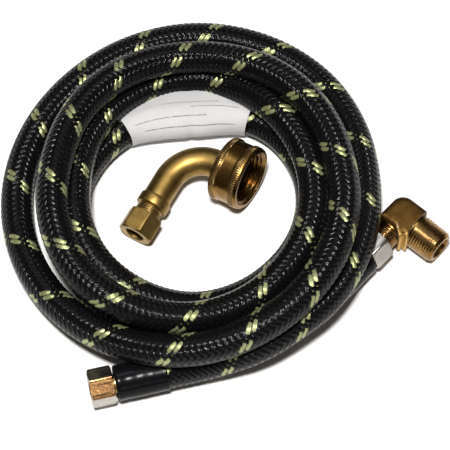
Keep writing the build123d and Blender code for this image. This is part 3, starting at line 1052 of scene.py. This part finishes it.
def bend_line(corner, first, second):
    """Straight, arc, straight: in along the first leg and out along the second, in metres."""
    start, end = BEND_LEGS
    turn = math.pi - first.angle(second)
    tangent = BEND_R / math.tan((math.pi - turn) / 2)
    heading_in = -first
    across = (second - heading_in * second.dot(heading_in)).normalized()
    points = [corner + first * s for s in np.linspace(start, tangent, 12)]
    pivot = corner + first * tangent + across * BEND_R
    for i in range(1, BEND_STEPS):
        a = turn * i / BEND_STEPS
        points.append(pivot - across * BEND_R * math.cos(a) + heading_in * BEND_R * math.sin(a))
    points += [corner + second * s for s in np.linspace(tangent, end, 10)]
    return np.array([p * MM for p in points])


def bent_tube(comp_frame, swivel_frame):
    """The elbow's bend, open inside from end to end."""
    corner = swivel_frame.translation / MM
    first = comp_frame.to_3x3() @ Vector((0, 0, 1))
    second = swivel_frame.to_3x3() @ Vector((0, 0, 1))
    line = bend_line(corner, first, second)
    bm = bmesh.new()
    outside = swept(bm, line, BEND_OUTER_R)
    inside = swept(bm, line, BEND_BORE_R)
    for low, high in zip(outside, outside[1:]):
        bridge(bm, low, high)
    for low, high in zip(inside, inside[1:]):
        bridge(bm, high, low)
    bridge(bm, inside[0], outside[0])
    bridge(bm, outside[-1], inside[-1])
    piece = finish_mesh("inlet_bend", cleaned_mesh("inlet_bend", bm), Matrix.Identity(4), 40)
    dress(piece, "brass_satin", "inlet_elbow", replaced=("inlet_elbow",))


def inlet_collar(place):
    """Round collar behind the compression thread, with a groove where it meets the bend."""
    stations = [(28.9, COLLAR_BORE_R), (28.9, 6.7), (29.1, 6.72), (29.4, 7.2), (29.55, 7.75)]
    stations += [(29.9, 7.98), (31.0, 8.0), (34.2, 8.0), (34.7, 7.85), (34.95, 7.5), (35.0, 6.3)]
    stations += [(35.3, 5.95)] + thread(35.4, 44.4, 5.95, 6.55, COMP_PITCH)
    stations += [(44.6, 5.9), (44.9, 6.3), (44.9, 6.2), (42.7, COLLAR_BORE_R)]
    piece = turned("inlet_collar", stations, place, even_angles(144), 40)
    dress(piece, "brass_satin", "inlet_elbow")


def inlet_nut(place):
    """Small brass hexagon nut with a hole for the copper tube."""
    start, end, twist = INLET_NUT_START, INLET_NUT_END, INLET_NUT_TWIST
    stations = [(start, 6.9), (start, 7.2)]
    stations += hexagon(HEX_FLATS, start + HEX_INSET, end - HEX_INSET, twist)
    stations += [(end, 7.0), (end, 5.25), (end - 0.4, INLET_TUBE_R), (end - 2.4, INLET_TUBE_R)]
    stations += [(s, INLET_NUT_ROOM_R) for s in (end - 2.4, 45.0, start + 0.6)]
    piece = turned("brass_compression_nut", stations, place, hexagon_angles(twist))
    dress(piece, "brass_satin", "inlet_comp_nut", ("inlet_comp_nut",))


def knurled(radius, depth):
    """Radius round a rim with a groove between each two teeth."""
    def reach(angle):
        phase = (angle * KNURL_TEETH / TURN) % 1.0
        return radius - depth * max(0.0, 1.0 - abs(phase - 0.5) * 5.0)

    return reach


def garden_nut(place):
    """Garden hose nut: two knurled rims, a waist, and three turns of thread inside."""
    rim = knurled(16.05, 0.5)
    rim_end = knurled(15.9, 0.2)
    stations = [(0.0, GARDEN_NECK_R), (0.0, 15.1), (0.15, 15.45), (0.35, 15.6)]
    stations += [(0.6, rim_end), (0.85, rim), (3.1, rim), (3.35, rim_end), (3.6, 15.65), (3.75, 15.5)]
    stations += [(4.1, 15.42), (4.6, 15.4), (9.9, 15.4), (10.4, 15.42), (10.7, 15.5), (10.85, 15.65)]
    stations += [(11.1, rim_end), (11.3, rim), (13.7, rim), (14.0, rim_end)]
    stations += [(14.3, 15.8), (15.0, 15.6), (15.4, 15.2), (15.5, 14.8), (15.5, 13.9), (14.9, 13.3)]
    stations += thread(7.7, 14.7, 13.25, 12.35, GARDEN_PITCH, fade=0.4)[::-1]
    stations += [(7.5, GARDEN_ROOM_R), (2.5, GARDEN_ROOM_R), (2.4, 12.6), (2.4, GARDEN_NECK_R)]
    piece = turned("garden_nut", stations, place, even_angles(KNURL_TEETH * 5), 32)
    dress(piece, "brass_turned", "garden_hose_nut", replaced=("garden_hose_nut",))


def elbow_flange(place):
    """The elbow's flange inside the garden hose nut, with the mouth of its bore."""
    stations = [(2.7, 5.0), (2.7, 11.2), (2.9, 11.5), (4.3, 11.5), (4.5, 11.2), (4.5, 5.2), (4.2, 4.7)]
    piece = turned("inlet_flange", stations, place)
    dress(piece, "brass_turned", "inlet_elbow")


# ---------------------------------------------------------------- the CAD nodes that stay

def dress_cad_nodes():
    """Gives the inner pieces that the CAD already shapes their finished materials."""
    kept = {
        "crimp_ferrule_a": "ferrule_steel",
        "crimp_ferrule_b": "ferrule_steel",
        "inner_tube_a": "lining_rubber",
        "inner_tube_b": "lining_rubber",
        "hose_stem_a": "stem_brass",
        "hose_stem_b": "stem_brass",
        "cone_seal_a": "seal_rubber",
        "cone_seal_b": "seal_rubber",
        "hose_washer": "seal_rubber",
        "inlet_comp_sleeve": "brass_turned",
    }
    for node, material in kept.items():
        for slot in frame["nodes"][node].material_slots:
            slot.material = MATERIALS[material]


# ---------------------------------------------------------------- camera, floor, light

AIM = Vector((-0.0002, -0.0082, 0.0))
CAMERA_ELEVATION = 62.0
CAMERA_DISTANCE = 0.9
CAMERA_LENS = 147.6
SENSOR_WIDTH = 36.0
FLOOR_HALF = 3.0
FLOOR_DROP = 0.0004

# Name, place, size, watts and colour of each soft light.
LIGHTS = (
    ("key", (-0.06, -0.34, 1.22), (0.14, 0.14), 22.0, (1.0, 0.98, 0.95)),
    ("overhead", (-0.10, 0.55, 1.5), (1.0, 0.5), 4.0, (0.96, 0.98, 1.0)),
    ("front", (0.45, -1.3, 0.6), (0.5, 0.3), 0.7, (1.0, 0.96, 0.90)),
)
BACKDROP = (0.62, 0.55, 0.48, 1.0)
BACKDROP_STRENGTH = 0.12


def camera():
    tilt = math.radians(CAMERA_ELEVATION)
    back = Vector((0, -math.cos(tilt), math.sin(tilt)))
    data = bpy.data.cameras.new("camera")
    data.lens = CAMERA_LENS
    data.sensor_width = SENSOR_WIDTH
    data.clip_start = 0.05
    data.clip_end = 20.0
    made = add_object("camera", data)
    made.location = AIM + back * CAMERA_DISTANCE
    made.rotation_mode = "QUATERNION"
    made.rotation_quaternion = (-back).to_track_quat("-Z", "Y")
    bpy.context.scene.camera = made


def floor():
    """A plain pale floor just under the hose."""
    size = FLOOR_HALF
    mesh = bpy.data.meshes.new("floor")
    corners = [(-size, -size, 0), (size, -size, 0), (size, size, 0), (-size, size, 0)]
    mesh.from_pydata(corners, [], [(0, 1, 2, 3)])
    mesh.materials.append(floor_material())
    made = add_object("floor", mesh)
    made.location.z = -FLOOR_DROP


def area_light(name, place, size, power, colour):
    data = bpy.data.lights.new(name, "AREA")
    data.shape = "RECTANGLE"
    data.size, data.size_y = size
    data.energy = power
    data.color = colour
    made = add_object(name, data)
    made.location = place
    made.rotation_mode = "QUATERNION"
    made.rotation_quaternion = (AIM - Vector(place)).to_track_quat("-Z", "Y")


def lights():
    """The soft lights and a dim backdrop."""
    for light in LIGHTS:
        area_light(*light)
    world = bpy.data.worlds.new("studio")
    bpy.context.scene.world = world
    world.use_nodes = True
    backdrop = world.node_tree.nodes["Background"]
    backdrop.inputs["Color"].default_value = BACKDROP
    backdrop.inputs["Strength"].default_value = BACKDROP_STRENGTH
    bpy.context.scene.view_settings.view_transform = "Standard"


# ---------------------------------------------------------------- the whole kit

# Distances along each joint's axis from its point back to the zero of the pieces' profiles.
HOSE_END_BACK = 30.35
PIPE_THREAD_BACK = 16.45
SWIVEL_BACK = 29.4
INLET_COMP_BACK = 45.0
GARDEN_NUT_AT = 21.7


def main():
    """Builds every visible piece, then the stage."""
    end_a = joint_frame("nut_a_spin", HOSE_END_BACK)
    end_b = joint_frame("nut_b_spin", HOSE_END_BACK, -1)
    camera()
    line = braided_hose(end_a, end_b)
    label(line)
    for side, place in (("a", end_a), ("b", end_b)):
        shrink_sleeve(side, place)
    # Nut A has one flat painted amber as a reflection.
    swivel_nut("a", end_a, 30, "nut_painted_reflection")
    swivel_nut("b", end_b, 0, "nut_plated")
    pipe_mount = MOUNTS["outlet_pipe_thread"]
    pipe_axis = Vector(pipe_mount["axis"])
    crossing = Vector(pipe_mount["pos_m"]) - pipe_axis * PIPE_THREAD_BACK * MM
    away = Vector((0, 0, 1)).cross(pipe_axis)
    axes = Matrix((pipe_axis, away, Vector((0, 0, 1)))).transposed().to_4x4()
    outlet_elbow(Matrix.Translation(crossing) @ axes)
    swivel = joint_frame("garden_nut_spin", SWIVEL_BACK)
    comp = joint_frame("inlet_nut_spin", INLET_COMP_BACK)
    bent_tube(comp, swivel)
    inlet_collar(comp)
    inlet_nut(comp)
    rear = swivel @ Matrix.Translation((0, 0, GARDEN_NUT_AT * MM))
    garden_nut(rear)
    elbow_flange(rear)
    dress_cad_nodes()
    floor()
    lights()


main()
